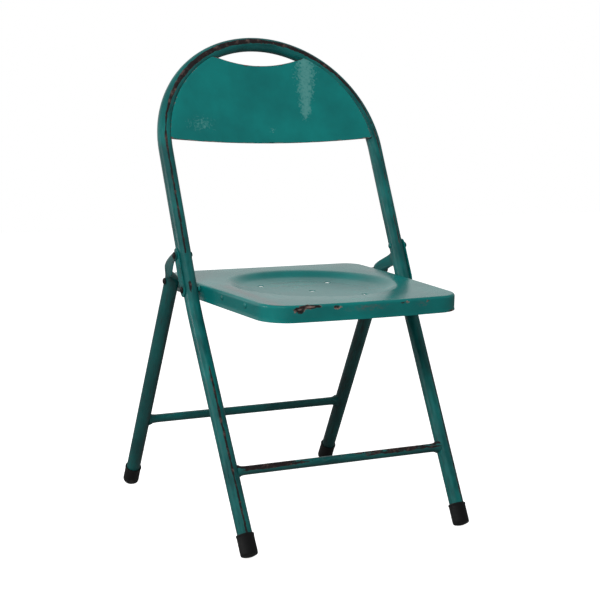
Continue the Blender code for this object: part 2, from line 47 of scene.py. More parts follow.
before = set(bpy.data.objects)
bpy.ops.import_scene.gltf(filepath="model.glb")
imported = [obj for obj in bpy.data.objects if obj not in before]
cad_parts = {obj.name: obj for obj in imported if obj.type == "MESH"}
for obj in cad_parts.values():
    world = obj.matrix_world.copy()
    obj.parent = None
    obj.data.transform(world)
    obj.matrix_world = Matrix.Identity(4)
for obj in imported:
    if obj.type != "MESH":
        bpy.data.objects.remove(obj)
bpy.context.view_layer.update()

SIDES = ((-1, "left"), (1, "right"))

# The frame's middle lies this far behind the floor line of the front feet
DEPTH_SHIFT = -0.24322

# Gap of each moving fit, and the sheet of the strap plates
CLEARANCE = 0.0003
PLATE_SHEET = 0.0018

# Front tube, from foot to knee and up the leaning hoop
TUBE_RADIUS = 0.0119
FRONT_FOOT_X = 0.1889
HOOP_RADIUS = 0.1975
KNEE = Vector((0, 0.199 + DEPTH_SHIFT, 0.3606))
KNEE_DEPTH = 0.199
KNEE_BEND = 0.030
LEAN = math.radians(24.6)
LEAN_UP = Vector((0, math.sin(LEAN), math.cos(LEAN)))
LEAN_FRONT = Vector((0, -math.cos(LEAN), math.sin(LEAN)))
HOOP_CENTRE = (0.8 - TUBE_RADIUS - KNEE.z) / math.cos(LEAN) - HOOP_RADIUS
LEG_FRONT = Vector((0, -0.8755, 0.4832))
TUBE_START = 0.010

# Back panel
PANEL_RADIUS = 0.1895
PANEL_RISE = 0.0150
PANEL_SAG = 0.0035
PANEL_DISH = 0.0130
PANEL_FORWARD = 0.00964
PANEL_TRIM = 0.004
GRIP_HALF_WIDTH = 0.0864
GRIP_DEPTH = 0.0155

# Rear legs
REAR_RADIUS = 0.0122
REAR_FOOT_X = 0.1998
REAR_TOP_X = 0.1976
REAR_FOOT_DEPTH = 0.5105
REAR_SLOPE = 0.5545
SWEEP_RADIUS = 0.132
SWEEP_ANGLE = math.radians(37.0)
EAR_RADIUS = 0.0066
EAR_THICK = 0.0025
EAR_WIDTH = 0.0108
EAR_START = 0.046
EAR_BLEND = 0.026
EAR_SWELL = 0.0095
EAR_X = 0.2118 + EAR_THICK / 2

# Pivots
LEG_PIVOT = Vector((0, -0.00741, 0.441))
SEAT_PIVOT = Vector((0, -0.0319, 0.3875))
STUD = Vector((0, 0.0489, 0.3935))

# Seat, in its own frame: y from the seat pivot, z from the top face
SEAT_ORIGIN = Vector((0, -0.03223, 0.39549))
SEAT_SLOPE = math.radians(2.36)
SEAT_HALF_WIDTH = 0.1815
SEAT_FRONT_HALF_WIDTH = 0.1680
SEAT_FRONT = -0.2390
SEAT_REAR = 0.1460
SEAT_BULGE = 0.0087
SEAT_TAPER_START = 0.0200
SEAT_EDGE_STEP = 0.0075
DISH_CENTRE = -0.0440
DISH_SHOULDER = 0.006
DRAINS = ((0, 0), (-0.062, -0.066), (-0.062, 0.066), (0.062, -0.066), (0.062, 0.066))
RIVETS = ((1, -0.0805), (2, -0.1590))
RIVET_DROP = -0.0100

# Stretchers and feet
FRONT_BAR_HEIGHT = 0.1200
FRONT_BAR_RADIUS = 0.0070
REAR_BAR_HEIGHT = 0.1305
REAR_BAR_RADIUS = 0.0074
FOOT_CROWN = 0.0286
FOOT_WALL_SHAPE = ((0.0, 0.0392), (0.0005, 0.0388), (0.0006, 0.0380), (0.0005, 0.0368),
                   (0.0001, 0.0360), (0.0, 0.0350), (0.0, 0.0240), (0.0001, 0.0140))

# Heads of bolts and rivets: shares of the head's radius, with heights
BOLT_HEAD = 0.0056
BOLT_SHANK = 0.0027
BOLT_DOME = ((0.30, 0.00292), (0.55, 0.00262), (0.76, 0.0021), (0.92, 0.0013), (0.99, 0.0006),
             (1.0, 0.0003), (0.97, 0.0))
RIVET_HEAD = 0.0042
RIVET_DOME = ((0.35, 0.00172), (0.62, 0.00142), (0.85, 0.0008), (0.97, 0.0003), (1.0, 0.0))
PIVOT_END = ((0.0005, 0.0019), (0.0018, 0.0018), (0.0032, 0.0014), (0.0044, 0.0008),
             (0.0050, 0.0002), (0.0050, 0.0))

# Camera and light
CAMERA_PLACE = (-1.0137, -1.8302 + DEPTH_SHIFT, 0.6524)
CAMERA_TURN = (math.radians(90 - 7.328), 0, -math.radians(26.387))
LAMP_TARGET = Vector((0, 0, 0.42))


def linear(code):
    """An sRGB hex colour as linear red, green and blue."""
    parts = [int(code[i:i + 2], 16) / 255 for i in (1, 3, 5)]
    return [p / 12.92 if p <= 0.04045 else ((p + 0.055) / 1.055) ** 2.4 for p in parts]


def length(name, description, default):
    """A size for the sidebar."""
    return FloatProperty(name=name, description=description, default=default, unit="LENGTH")


def colour(name, description, code):
    """A colour for the sidebar."""
    return FloatVectorProperty(name=name, description=description, subtype="COLOR", default=linear(code))


class ChairSizes(PropertyGroup):
    """Sizes of the small forms that the dressing adds."""
    panel_thickness: length("Panel sheet", "Thickness of the back panel's sheet", 0.0012)
    seat_thickness: length("Seat sheet", "Thickness of the seat's sheet", 0.0012)
    seat_edge: length("Seat edge", "Radius where the seat's top turns down", 0.0042)
    dish_depth: length("Dish depth", "Depth of the round dish pressed in the seat", 0.0142)
    dish_radius: length("Dish radius", "Radius of the dish at the seat's top", 0.1380)
    drain_radius: length("Drain hole", "Radius of each of the dish's five holes", 0.0052)
    foot_wall: length("Foot wall", "Thickness of the rubber round each leg", 0.0018)
    tube_sides: IntProperty(name="Tube facets", description="Facets round each tube", default=40)


class ChairColours(PropertyGroup):
    """Colours of the enamel, the rust beneath it, the steel and the rubber."""
    green: colour("Enamel", "The green where it is best kept", "#0f8a86")
    deep: colour("Aged enamel", "The green where hands and oil have darkened it", "#0b6060")
    # This pale green also paints a highlight on the back panel
    pale: colour("Chalked enamel", "The green where the gloss has gone to powder", "#5ba29d")
    rust: colour("Rust", "Dark old rust where the paint is gone", "#272021")
    red_rust: colour("Light rust", "Pale dusty rust inside a fresh chip", "#a1857c")
    primer: colour("Rubbed paint", "Dusty brown where the paint is rubbed thin", "#6f5d60")
    steel: colour("Steel", "Blackened steel of bolts and nuts", "#1f1c1c")
    rubber: colour("Rubber", "Black rubber of the feet", "#0e0f10")
    dust: colour("Floor dust", "Grey scuffs near the soles", "#6d6a66")


class StageSettings(PropertyGroup):
    """The camera and light of the studio."""
    lens: FloatProperty(name="Lens", description="Focal length in millimetres on a 36 mm wide sensor",
                        default=82.57)
    key: FloatProperty(name="Key light", description="Power of the large front light",
                       default=34.0, unit="POWER")
    fill: FloatProperty(name="Fill light", description="Power of the right light",
                        default=5.0, unit="POWER")
    sky: FloatProperty(name="Surroundings", description="Strength of the surroundings on the object",
                       default=0.14)


def sizes():
    return bpy.context.scene.chair_sizes


def colours():
    return bpy.context.scene.chair_colours


def lean_point(x, along, forward=0.0):
    """A point by its distance from the knee along the hoop's leaning plane."""
    return KNEE + Vector((x, 0, 0)) + LEAN_UP * along + LEAN_FRONT * forward


def front_leg_point(z, side):
    share = z / KNEE.z
    x = FRONT_FOOT_X + (HOOP_RADIUS - FRONT_FOOT_X) * share
    return Vector((side * x, DEPTH_SHIFT + KNEE_DEPTH * share, z))


def rear_leg_point(z, side):
    x = REAR_FOOT_X + (REAR_TOP_X - REAR_FOOT_X) * z / LEG_PIVOT.z
    return Vector((side * x, DEPTH_SHIFT + REAR_FOOT_DEPTH - REAR_SLOPE * z, z))


def ease(t):
    t = min(1.0, max(0.0, t))
    return t * t * (3 - 2 * t)


def bump_at(value, centre, width):
    """A soft hill, 1 at its centre."""
    return math.exp(-((value - centre) / width) ** 2)


# Modelling helpers: each starts with nothing selected and leaves its piece active in object mode

def start_clean():
    if bpy.context.mode != "OBJECT":
        bpy.ops.object.mode_set(mode="OBJECT")
    bpy.ops.object.select_all(action="DESELECT")


def only(piece):
    start_clean()
    piece.select_set(True)
    bpy.context.view_layer.objects.active = piece


def choose(piece, kind, test):
    """Selects in edit mode the verts, edges or faces that pass the test."""
    bpy.ops.mesh.select_mode(type=kind[:4].upper())
    shape = bmesh.from_edit_mesh(piece.data)
    for group in (shape.faces, shape.edges, shape.verts):
        for item in group:
            item.select = False
    for item in getattr(shape, kind):
        item.select = bool(test(item))
    shape.select_flush_mode()
    bmesh.update_edit_mesh(piece.data)


def edit(piece):
    """Opens a piece in edit mode with all of it selected."""
    only(piece)
    bpy.ops.object.mode_set(mode="EDIT")
    bpy.ops.mesh.select_mode(type="VERT")
    bpy.ops.mesh.select_all(action="SELECT")


def extrude(rise, grow=1.0, centre=(0, 0, 0)):
    """Extrudes the selected ring up by rise, and makes it grow about a centre."""
    bpy.ops.mesh.extrude_region_move()
    bpy.ops.transform.translate(value=(0, 0, rise))
    bpy.ops.transform.resize(value=(grow, grow, 1), center_override=centre)


def close_ring():
    """Closes the selected ring with a fan of faces to its middle."""
    bpy.ops.mesh.extrude_region_move()
    bpy.ops.mesh.merge(type="CENTER")


def tidy_mesh(piece, angle=38):
    """Merges doubles, turns all faces outwards and shades the piece."""
    edit(piece)
    bpy.ops.mesh.remove_doubles(threshold=2e-6)
    bpy.ops.mesh.normals_make_consistent(inside=False)
    bpy.ops.object.mode_set(mode="OBJECT")
    bpy.ops.object.shade_smooth_by_angle(angle=math.radians(angle))


def settle(piece):
    """Puts the piece's place into its mesh, so that its object sits at the origin."""
    only(piece)
    bpy.ops.object.transform_apply(location=True, rotation=True, scale=True)


def apply_all(piece):
    only(piece)
    for change in list(piece.modifiers):
        bpy.ops.object.modifier_apply(modifier=change.name)


def thicken(piece, face_way, thickness, offset, even=False):
    """Turns an open sheet to face one way and gives it its thickness."""
    tidy_mesh(piece)
    edit(piece)
    shape = bmesh.from_edit_mesh(piece.data)
    if sum(face.normal.dot(face_way) * face.calc_area() for face in shape.faces) < 0:
        bpy.ops.mesh.flip_normals()
    bpy.ops.object.mode_set(mode="OBJECT")
    wall = piece.modifiers.new("sheet", "SOLIDIFY")
    wall.thickness = thickness
    wall.offset = offset
    wall.use_even_offset = even
    apply_all(piece)


def bent_tube(name, points, radius, around):
    """A round tube along the points. Its vertices come ring by ring, one ring for each point."""
    start_clean()
    bpy.ops.curve.primitive_bezier_curve_add(location=(0, 0, 0))
    piece = bpy.context.object
    piece.name = name
    guide = piece.data
    guide.splines.clear()
    run = guide.splines.new("POLY")
    run.points.add(len(points) - 1)
    for spot, point in zip(run.points, points):
        spot.co = (*point, 1)
    guide.dimensions = "3D"
    guide.bevel_depth = radius
    guide.bevel_resolution = around // 2 - 2
    bpy.ops.object.convert(target="MESH")
    return bpy.context.object


def ring_loft(name, rings):
    """A closed skin over rings of points, with both ends filled."""
    shape = bmesh.new()
    rows = [[shape.verts.new(point) for point in ring] for ring in rings]
    count = len(rows[0])
    for low, high in zip(rows, rows[1:]):
        for i in range(count):
            j = (i + 1) % count
            shape.faces.new((low[i], low[j], high[j], high[i]))
    shape.faces.new(rows[0])
    shape.faces.new(rows[-1])
    mesh = bpy.data.meshes.new(name)
    shape.to_mesh(mesh)
    shape.free()
    piece = bpy.data.objects.new(name, mesh)
    bpy.context.scene.collection.objects.link(piece)
    return piece


def close_ends(piece):
    """Fills the open ends of a tube."""
    edit(piece)
    choose(piece, "edges", lambda edge: edge.is_boundary)
    bpy.ops.mesh.fill_holes(sides=0)
    bpy.ops.object.mode_set(mode="OBJECT")


def turned(name, profile, around, spot, way):
    """A ring is added, extruded along the profile of (radius, height), and set at a spot, its Z along way."""
    start_clean()
    radius, height = profile[0]
    bpy.ops.mesh.primitive_circle_add(vertices=around, radius=radius, location=(0, 0, 0))
    piece = bpy.context.object
    piece.name = name
    edit(piece)
    bpy.ops.transform.translate(value=(0, 0, height))
    close_ring()
    choose(piece, "verts", lambda v: v.co.xy.length > radius * 0.5)
    for wide, high in profile[1:]:
        extrude(high - height, wide / radius)
        radius, height = wide, high
    close_ring()
    start_clean()
    piece.location = spot
    piece.rotation_euler = Vector(way).to_track_quat("Z", "Y").to_euler()
    settle(piece)
    return piece


def age(piece, worn=0.0, grime=0.0, chalk=0.0, rubbed=0.0):
    """Writes how aged each vertex is, in four ways that the enamel reads: a number, or a rule by place. Its
    grime and chalk ways also carry painted shade and a painted highlight.
    """
    for name, measure in (("worn", worn), ("grime", grime), ("chalk", chalk), ("rubbed", rubbed)):
        values = [float(measure(v) if callable(measure) else measure) for v in piece.data.vertices]
        piece.data.attributes.new(name, "FLOAT", "POINT").data.foreach_set("value", values)


def lay_out(piece, around, radius, lengths):
    """Writes where each vertex would lie if the tube were straight, so streaks follow its length."""
    flat = []
    for vertex in piece.data.vertices:
        turn = 2 * math.pi * (vertex.index % around) / around
        along = lengths[min(vertex.index // around, len(lengths) - 1)]
        flat.extend((radius * math.cos(turn), radius * math.sin(turn), along))
    piece.data.attributes.new("laid", "FLOAT_VECTOR", "POINT").data.foreach_set("vector", flat)


def coat(piece, look):
    piece.data.materials.clear()
    piece.data.materials.append(finish(look))


def dress(piece, look, body, node, angle=38):
    """Finishes a piece: clean mesh, material, body, finish slot and the node that it stands for."""
    tidy_mesh(piece, angle)
    coat(piece, look)
    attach(piece, body)
    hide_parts(node)


# Materials

# A Mix node takes its share at 0, numbers at 2 and 3, and colours at 6 and 7, and gives a colour at 2
SMOOTH = {"interpolation_type": "SMOOTHSTEP"}
TINT = {"data_type": "RGBA"}
STAIN = {"data_type": "RGBA", "blend_type": "MULTIPLY"}


def add(tree, kind, inputs=(), out=0, **settings):
    """Adds a node, sets it up, fills its inputs in order or by name, and gives one of its outputs."""
    node = tree.nodes.new("ShaderNode" + kind)
    for name, value in settings.items():
        setattr(node, name, value)
    for key, value in inputs.items() if isinstance(inputs, dict) else enumerate(inputs):
        socket = node.inputs[key]
        if isinstance(value, bpy.types.NodeSocket):
            tree.links.new(value, socket)
        else:
            socket.default_value = value
    return node.outputs[out] if node.outputs else None


def fresh_nodes(owner):
    """Empties the owner's node tree and gives the function that adds to it."""
    owner.use_nodes = True
    owner.node_tree.nodes.clear()
    return partial(add, owner.node_tree)


def shade(value):
    """A colour as a colour socket takes it."""
    return (*value, 1.0)


def enamel(name, sheet):
    """Oil enamel over mild steel: glossy, a little uneven, and chipped down to dark rust.

    The colour drifts over 80 mm. Tubes have brush streaks along their length, sheets are smooth.
    Chips of 1 to 5 mm open where a piece is marked as worn and sit 0.15 mm below the paint.
    """
    tone = colours()
    green, deep, pale, rust, red_rust, primer = map(
        shade, (tone.green, tone.deep, tone.pale, tone.rust, tone.red_rust, tone.primer))
    made = bpy.data.materials.new(name)
    put = fresh_nodes(made)
    if sheet:
        place = put("TexCoord", out="Object")
        long_way = put("Mapping", {"Vector": place, "Scale": (0.45, 1, 1)}, "Vector")
        streak_way, streak_scale, wave_scale = place, 60.0, 45.0
        low_tone, high_tone, kept_green = 0.97, 1.02, 0.55
        gloss, smoother, rougher, bend = 0.25, 0.01, 0.01, 0.015
    else:
        place = put("Attribute", out="Vector", attribute_name="laid")
        long_way = put("Mapping", {"Vector": place, "Scale": (1, 1, 0.18)}, "Vector")
        streak_way, streak_scale, wave_scale = long_way, 210.0, 95.0
        low_tone, high_tone, kept_green = 0.55, 1.10, 0.0
        gloss, smoother, rougher, bend = 0.32, 0.05, 0.08, 0.35
    worn, grime, chalk, rubbed = (put("Attribute", out="Fac", attribute_name=kind)
                                  for kind in ("worn", "grime", "chalk", "rubbed"))

    # Drift is 80 mm wide, patches 13 mm, the speckle of chalk and painted highlight 5 mm, flakes 3 mm and
    # specks 1 mm
    drift, streak, flake, patch, speck, mottle, wave = (
        put("TexNoise", {"Vector": way, "Scale": scale, "Detail": detail, "Roughness": rough})
        for way, scale, detail, rough in (
            (place, 12.0, 3.0, 0.5), (streak_way, streak_scale, 4.0, 0.6), (long_way, 330.0, 6.0, 0.68),
            (place, 75.0, 5.0, 0.65), (place, 900.0, 2.0, 0.5), (place, 210.0, 6.0, 0.72),
            (place, wave_scale, 3.0, 0.5)))

    # The paint: its drift and brush streaks, then powdered gloss with a painted highlight, rubbed places, and
    # grime with painted shade
    share = put("MapRange", (drift, 0.30, 0.70, kept_green, 1.0), **SMOOTH)
    body = put("Mix", {0: share, 6: deep, 7: green}, 2, **TINT)
    share = put("MapRange", (streak, 0.3, 0.7, low_tone, high_tone), **SMOOTH)
    body = put("Mix", {0: 1.0, 6: body, 7: share}, 2, **STAIN)
    # Chalk mask: chalked paint, and on the back panel a painted highlight in the pale green
    powder_and_highlight = put("Math", (mottle, 1.25), operation="MULTIPLY")
    powder_and_highlight = put("Math", (chalk, 0.75, powder_and_highlight), operation="MULTIPLY_ADD")
    powder_and_highlight = put("MapRange", (powder_and_highlight, 0.96, 1.30, 0.0, 1.0), **SMOOTH)
    body = put("Mix", {0: powder_and_highlight, 6: body, 7: pale}, 2, **TINT)
    share = put("Math", (rubbed, flake), operation="MULTIPLY")
    share = put("MapRange", (share, 0.24, 0.56, 0.0, 0.85), **SMOOTH)
    body = put("Mix", {0: share, 6: body, 7: primer}, 2, **TINT)
    # This dark tone paints dirt, and also painted shade where the grime mask carries it
    dirt_and_shade = put("Mix", {0: 0.72, 6: deep, 7: rust}, 2, **TINT)
    share = put("Math", (grime, streak), operation="MULTIPLY")
    share = put("MapRange", (share, 0.14, 0.60, 0.0, 1.0), **SMOOTH)
    body = put("Mix", {0: share, 6: body, 7: dirt_and_shade}, 2, **TINT)

    # The chips: a pale fringe of lifted paint, then dark rust, dusty where the chip is fresh
    both = put("Math", (flake, 0.6, worn), operation="MULTIPLY_ADD")
    both = put("Math", (patch, 0.35, both), operation="MULTIPLY_ADD")
    fringe = put("Mix", {0: 0.45, 6: green, 7: pale}, 2, **TINT)
    share = put("MapRange", (both, 0.79, 0.87, 0.0, 0.2), **SMOOTH)
    body = put("Mix", {0: share, 6: body, 7: fringe}, 2, **TINT)
    if sheet:
        old = put("MapRange", (patch, 0.44, 0.62, 0.0, 0.95), **SMOOTH)
        fresh = put("MapRange", (worn, 0.60, 0.70, 0.0, 0.9), **SMOOTH)
        fresh = put("Math", (old, fresh), operation="MAXIMUM")
    else:
        fresh = put("MapRange", (patch, 0.50, 0.72, 0.0, 0.35), **SMOOTH)
    metal = put("Mix", {0: fresh, 6: rust, 7: red_rust}, 2, **TINT)
    share = put("MapRange", (speck, 0.3, 0.7, 0.65, 1.25), **SMOOTH)
    metal = put("Mix", {0: 1.0, 6: metal, 7: share}, 2, **STAIN)
    bare = put("MapRange", (both, 0.86, 0.92, 0.0, 1.0), **SMOOTH)
    body = put("Mix", {0: bare, 6: body, 7: metal}, 2, **TINT)

    dull = put("MapRange", (streak, 0.25, 0.75, gloss - smoother, gloss + rougher), **SMOOTH)
    dull = put("Mix", {0: powder_and_highlight, 2: dull, 3: gloss + 0.18})
    dull = put("Mix", {0: bare, 2: dull, 3: 0.62})
    soft = put("Bump", {"Strength": bend, "Distance": 0.0006, "Height": wave})
    relief = put("MapRange", (speck, 0.2, 0.8, -1.0, -0.6), **SMOOTH)
    relief = put("Math", (bare, relief), operation="MULTIPLY")
    hard = put("Bump", {"Strength": 0.5, "Distance": 0.00015, "Height": relief, "Normal": soft})
    skin = put("BsdfPrincipled", {"Base Color": body, "Roughness": dull, "IOR": 1.5, "Normal": hard})
    put("OutputMaterial", (skin,))
    return made


def blackened_steel():
    """Mild steel bolts blackened by oil and age: half metallic, dull, with brown bloom in 2 mm patches."""
    tone = colours()
    made = bpy.data.materials.new("blackened_steel")
    put = fresh_nodes(made)
    place = put("TexCoord", out="Object")
    bloom = put("TexNoise", {"Vector": place, "Scale": 420.0, "Detail": 5.0, "Roughness": 0.65})
    share = put("MapRange", (bloom, 0.48, 0.66), **SMOOTH)
    body = put("Mix", {0: share, 6: shade(tone.steel), 7: shade(tone.rust)}, 2, **TINT)
    dull = put("MapRange", (bloom, 0.3, 0.7, 0.38, 0.62))
    relief = put("Bump", {"Strength": 0.4, "Distance": 0.0002, "Height": bloom})
    skin = put("BsdfPrincipled", {"Base Color": body, "Metallic": 0.35, "Roughness": dull, "Normal": relief})
    put("OutputMaterial", (skin,))
    return made


def moulded_rubber():
    """Moulded black rubber: matte, with a fine mould skin and grey scuffs of floor dust near the sole."""
    tone = colours()
    made = bpy.data.materials.new("moulded_rubber")
    put = fresh_nodes(made)
    place = put("TexCoord", out="Object")
    height = put("SeparateXYZ", (place,), "Z")
    grit, scuff = (
        put("TexNoise", {"Vector": place, "Scale": scale, "Detail": 5.0, "Roughness": 0.7})
        for scale in (600.0, 130.0))
    low = put("MapRange", (height, 0.014, 0.0, 0.0, 0.35))
    share = put("Math", (low, scuff), operation="ADD")
    share = put("MapRange", (share, 0.6, 0.95, 0.0, 0.4), **SMOOTH)
    body = put("Mix", {0: share, 6: shade(tone.rubber), 7: shade(tone.dust)}, 2, **TINT)
    dull = put("MapRange", (scuff, 0.3, 0.7, 0.42, 0.62))
    relief = put("Bump", {"Strength": 0.3, "Distance": 0.0002, "Height": grit})
    skin = put("BsdfPrincipled", {"Base Color": body, "Roughness": dull, "IOR": 1.52, "Normal": relief})
    put("OutputMaterial", (skin,))
    return made


FINISHES = {}
MAKERS = {
    "tube_enamel": lambda: enamel("tube_enamel", False),
    "sheet_enamel": lambda: enamel("sheet_enamel", True),
    "blackened_steel": blackened_steel,
    "moulded_rubber": moulded_rubber,
}


def finish(name):
    """Each finish is made once, when the first piece asks for it."""
    if name not in FINISHES:
        FINISHES[name] = MAKERS[name]()
    return FINISHES[name]


# The front tube

def front_path():
    """The tube's centre line from the left foot over the hoop to the right foot, in steps of a few mm."""
    foot, knee = front_leg_point(TUBE_START, -1), Vector((-HOOP_RADIUS, KNEE.y, KNEE.z))
    shoulder = lean_point(-HOOP_RADIUS, HOOP_CENTRE)
    first = knee - (knee - foot).normalized() * KNEE_BEND
    last = knee + (shoulder - knee).normalized() * KNEE_BEND
    leg_steps, knee_steps, upright_steps, hoop_steps = 70, 12, 50, 84
    half = [foot.lerp(first, i / leg_steps) for i in range(leg_steps)]
    for i in range(knee_steps):
        t = i / knee_steps
        half.append(first * (1 - t) ** 2 + knee * 2 * t * (1 - t) + last * t ** 2)
    half += [last.lerp(shoulder, i / upright_steps) for i in range(upright_steps)]
    for i in range(hoop_steps + 1):
        turn = math.pi - i * (math.pi / 2) / hoop_steps
        half.append(lean_point(HOOP_RADIUS * math.cos(turn), HOOP_CENTRE + HOOP_RADIUS * math.sin(turn)))
    return half + [Vector((-p.x, p.y, p.z)) for p in reversed(half[:-1])]


def front_rub(centre, out):
    """How worn the front tube is: a line rubbed bare along its front, wide over the top of the hoop."""
    along = (centre - KNEE).dot(LEAN_UP)
    left = centre.x < 0
    if centre.z < KNEE.z:
        front, outward = out.dot(LEG_FRONT), out.x * math.copysign(1, centre.x)
        apex = 0.0
    else:
        radial = Vector((centre.x, 0, 0)) + LEAN_UP * max(0.0, along - HOOP_CENTRE)
        front, outward = out.dot(LEAN_FRONT), out.dot(radial.normalized())
        apex = ease((along - HOOP_CENTRE) / HOOP_RADIUS * 1.6 - 0.35)
    theta = math.degrees(math.atan2(front, outward))
    line = bump_at(theta, 84, 15 + 16 * apex)
    if centre.z > 0.60:
        strength = 0.60 if left else 0.50
    elif centre.z > 0.44:
        strength = 0.56 if left else 0.44
    elif centre.z > 0.27:
        strength = 0.14
    elif left:
        strength = 0.32 + 0.26 * ease((0.29 - centre.z) / 0.05)
    else:
        line = bump_at(theta, 62, 16)
        strength = 0.50
    if left:
        near_pivot = bump_at(centre.z, 0.389, 0.017) * bump_at(theta, 72, 20) * 0.62
    else:
        near_pivot = bump_at(centre.z, 0.41, 0.03) * bump_at(theta, 55, 18) * 0.42
    return max(line * (strength + 0.10 * apex), near_pivot)


class CHAIR_OT_front_tube(Operator):
    """Bends the one tube that makes both front legs and the back hoop."""
    bl_idname = "chair.front_tube"
    bl_label = "Front tube"

    def execute(self, context):
        path = front_path()
        piece = bent_tube("front_tube", path, TUBE_RADIUS, sizes().tube_sides)
        around = len(piece.data.vertices) // len(path)
        lengths = [0.0]
        for a, b in zip(path, path[1:]):
            lengths.append(lengths[-1] + (b - a).length)

        def worn(v):
            centre = path[v.index // around]
            return front_rub(centre, (v.co - centre).normalized())

        lay_out(piece, around, TUBE_RADIUS, lengths)
        age(piece, worn=worn, grime=lambda v: 0.54 if v.co.z > 0.37 else 0.46)
        close_ends(piece)
        dress(piece, "tube_enamel", "front_frame", "front_frame_tube")
        return {"FINISHED"}


# The back panel

def ring_cutter(radius, along, around):
    """A tall cylinder square to the hoop's plane, used to cut a long curved edge."""
    start_clean()
    bpy.ops.mesh.primitive_cylinder_add(vertices=around, radius=radius, depth=0.2,
                                        location=lean_point(0, along), rotation=(math.pi / 2 - LEAN, 0, 0))
    return bpy.context.object


def cut_away(piece, tool, operation="DIFFERENCE"):
    change = piece.modifiers.new("cut", "BOOLEAN")
    change.operation = operation
    change.solver = "EXACT"
    change.object = tool
    apply_all(piece)
    bpy.data.objects.remove(tool, do_unlink=True)


def panel_chalk_and_highlight(v):
    """Where the panel is paled: a streak on the right that is a painted highlight, speckled like chalked
    paint, and a spot and the lower left corner where the gloss has gone to chalk.
    """
    x, along = v.co.x, (v.co - KNEE).dot(LEAN_UP) - HOOP_CENTRE
    middle, wide = 0.079 + (along - 0.10) * 0.16, 0.012 + 0.016 * ease((along - 0.05) / 0.1)
    streak = bump_at(x, middle, wide) * ease((along - 0.03) / 0.04)
    spot = bump_at(math.hypot(x - 0.004, (along - 0.036) * 1.2), 0.0, 0.010)
    corner = bump_at(x, -0.128, 0.040) * bump_at(along, 0.045, 0.022)
    return max(0.84 * streak, 0.66 * spot, 0.62 * corner) * (v.normal.y < 0.2)


def panel_gap_shade(v):
    """Painted shade: a darker band on the panel where it meets the hoop, the shadow in the gap between them.
    """
    reach = math.hypot(v.co.x, (v.co - KNEE).dot(LEAN_UP) - HOOP_CENTRE)
    return 0.34 * ease(1.4 - abs(reach - PANEL_RADIUS) / 0.006)


class CHAIR_OT_back_panel(Operator):
    """Presses the dished back panel, with a sagging foot and a hollow grip edge."""
    bl_idname = "chair.back_panel"
    bl_label = "Back panel"

    def execute(self, context):
        start_clean()
        bpy.ops.mesh.primitive_circle_add(vertices=240, radius=PANEL_RADIUS, location=(0, 0, 0))
        piece = bpy.context.object
        piece.name = "dished_back_panel"
        edit(piece)
        rings = 36
        for i in range(1, rings):
            was, now = 1 - (i - 1) / rings, 1 - i / rings
            extrude(PANEL_DISH * (now ** 2 - was ** 2), now / was)
        close_ring()
        bpy.ops.mesh.select_all(action="SELECT")
        bpy.ops.mesh.bisect(plane_co=(0, PANEL_RISE - PANEL_SAG - PANEL_TRIM, 0), plane_no=(0, 1, 0),
                            clear_inner=True)
        bpy.ops.object.mode_set(mode="OBJECT")
        piece.rotation_euler = (math.pi / 2 - LEAN, 0, 0)
        piece.location = lean_point(0, HOOP_CENTRE, PANEL_FORWARD)
        settle(piece)
        thicken(piece, LEAN_FRONT, sizes().panel_thickness, 1.0)

        end_x = math.sqrt(PANEL_RADIUS ** 2 - PANEL_RISE ** 2)
        sag_radius = (end_x ** 2 + PANEL_SAG ** 2) / (2 * PANEL_SAG)
        low = HOOP_CENTRE + PANEL_RISE - PANEL_SAG
        cut_away(piece, ring_cutter(sag_radius, low + sag_radius, 720), "INTERSECT")
        grip_radius = (GRIP_HALF_WIDTH ** 2 + GRIP_DEPTH ** 2) / (2 * GRIP_DEPTH)
        grip_low = HOOP_CENTRE + math.sqrt(PANEL_RADIUS ** 2 - GRIP_HALF_WIDTH ** 2) - GRIP_DEPTH
        cut_away(piece, ring_cutter(grip_radius, grip_low + grip_radius, 240))
        edge = piece.modifiers.new("edge", "BEVEL")
        edge.width = 0.0003
        edge.segments = 2
        edge.limit_method = "ANGLE"
        edge.angle_limit = math.radians(50)
        apply_all(piece)

        def worn(v):
            along = (v.co - KNEE).dot(LEAN_UP)
            reach = math.hypot(v.co.x, along - HOOP_CENTRE)
            outer = ease((reach - PANEL_RADIUS + 0.0022) / 0.002)
            grip = math.hypot(v.co.x, along - grip_low - grip_radius) - grip_radius
            hollow = ease(1 - grip / 0.0022)
            foot = sag_radius - math.hypot(v.co.x, along - low - sag_radius)
            under = ease(1 - foot / 0.0016)
            chips = max(bump_at(v.co.x, -0.028, 0.006), bump_at(v.co.x, 0.042, 0.005))
            return max(0.58 * max(outer * 0.65, hollow, under), 0.85 * chips * ease(1 - grip / 0.006))

        # The chalk mask carries the painted highlight of the streak, and the grime mask the painted shade at
        # the hoop
        age(piece, worn=worn, chalk=panel_chalk_and_highlight, grime=panel_gap_shade)
        dress(piece, "sheet_enamel", "front_frame", "back_panel", 30)
        return {"FINISHED"}


# The seat

